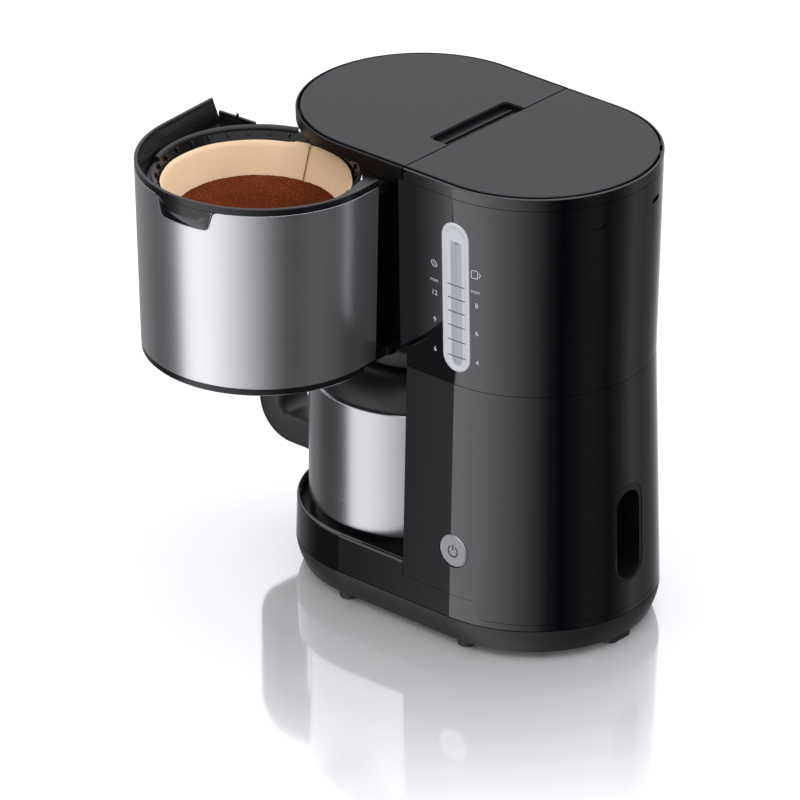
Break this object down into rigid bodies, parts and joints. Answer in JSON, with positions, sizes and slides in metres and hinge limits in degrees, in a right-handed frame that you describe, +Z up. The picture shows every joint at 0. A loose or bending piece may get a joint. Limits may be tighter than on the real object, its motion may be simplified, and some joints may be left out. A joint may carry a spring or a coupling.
{
  "type": "drip coffee maker",
  "caption": "Filter coffee machine with a steel-clad basket that swings out on a vertical hinge, a steel carafe with a D handle in a recess, and a water tank with a level window.",
  "frame": {"origin": "on the floor, midway between the centres of the body's two round ends", "axes": "+X along the body towards the water tank's round end, -Y the front with the water gauge and the power button, +Z up"},
  "size_m": [0.322, 0.2854, 0.34],
  "materials": {
    "gloss_black": "high gloss",
    "satin_black": "satin",
    "matte_black": "fine matte grain",
    "satin_charcoal": "satin, fine grain",
    "satin_silver": "satin",
    "brushed_steel": "horizontally brushed",
    "steel": "plain",
    "black_steel": "blackened",
    "sheet_steel": "zinc plated sheet",
    "cast_aluminium": "as cast",
    "foot_rubber": "matte",
    "silicone": "matte",
    "silicone_hose": "matte",
    "frosted_window": "frosted",
    "tank_plastic": "satin",
    "white_plastic": "natural",
    "fuse_ceramic": "plain",
    "board": "coated board",
    "filter_paper": "unbleached crepe",
    "ground_coffee": "granular"
  },
  "bodies": {
    "machine": {"base_skirt": "matte_black", "base_housing": "gloss_black", "base_plate": "matte_black", "base_screws": "black_steel", "feet": "foot_rubber", "rear_foot": "foot_rubber", "carafe_tray": "satin_black", "lower_housing": "gloss_black", "cord_pocket": "satin_black", "cord_gland": "foot_rubber", "tank_housing": "gloss_black", "gauge_window": "frosted_window", "water_tank": "tank_plastic", "tank_sieve": "white_plastic", "tank_seal": "silicone", "cold_hose": "silicone_hose", "check_valve": "white_plastic", "heater": "cast_aluminium", "heater_bracket": "sheet_steel", "thermostat": "sheet_steel", "thermal_fuses": "fuse_ceramic", "riser_tube": "silicone_hose", "brew_channel": "white_plastic", "spray_head": "satin_black", "switch_board": "board", "button_dome": "silicone", "tank_collar": "gloss_black", "brew_head_cover": "gloss_black", "head_top_plate": "satin_charcoal", "finger_well": "matte_black", "hinge_column": "gloss_black", "hinge_pin": "steel"},
    "button": {"power_button": "satin_silver"},
    "tank_lid": {"tank_lid": "satin_charcoal", "tank_lid_pins": "black_steel"},
    "basket": {"basket_shell": "satin_black", "basket_facade": "brushed_steel", "basket_ring": "satin_black", "basket_bottom_ring": "satin_black", "filter_holder": "satin_black", "filter_paper": "filter_paper", "coffee_grounds": "ground_coffee", "valve_spring": "steel"},
    "drip_valve": {"drip_valve": "white_plastic"},
    "carafe": {"carafe_shell": "brushed_steel", "carafe_flask": "steel", "carafe_foot": "matte_black", "carafe_collar": "matte_black", "carafe_handle": "matte_black"},
    "carafe_lid": {"carafe_lid": "matte_black", "lid_seal": "silicone", "lever_pin": "steel"},
    "pour_lever": {"pour_lever": "matte_black"}
  },
  "joints": [
    {"name": "basket_swing", "type": "hinge", "parent": "machine", "child": "basket", "pos_m": [-0.0151, -0.076, 0.2605], "axis": [0, 0, 1], "range_deg": [-94, 0]},
    {"name": "drip_valve_lift", "type": "slide", "parent": "basket", "child": "drip_valve", "axis": [0, 0, 1], "range_m": [0, 0.003], "stiffness_N_per_m": 300, "springref_m": -0.003, "deforming": ["valve_spring"]},
    {"name": "carafe_slide", "type": "slide", "parent": "machine", "child": "carafe", "axis": [-1, 0, 0], "range_m": [0, 0.17]},
    {"name": "carafe_lid_twist", "type": "hinge", "parent": "carafe", "child": "carafe_lid", "pos_m": [-0.0493, 0, 0.17], "axis": [0, 0, 1], "range_deg": [0, 60]},
    {"name": "pour_lever_tilt", "type": "hinge", "parent": "carafe_lid", "child": "pour_lever", "pos_m": [-0.0823, 0, 0.181], "axis": [0, -1, 0], "range_deg": [0, 6], "stiffness_Nm_per_rad": 0.3, "springref_deg": -5.73},
    {"name": "tank_lid_hinge", "type": "hinge", "parent": "machine", "child": "tank_lid", "pos_m": [0.118, 0, 0.3382], "axis": [0, 1, 0], "range_deg": [0, 85]},
    {"name": "power_button_press", "type": "slide", "parent": "machine", "child": "button", "axis": [0, 1, 0], "range_m": [0, 0.0015], "stiffness_N_per_m": 600, "springref_m": -0.001}
  ]
}
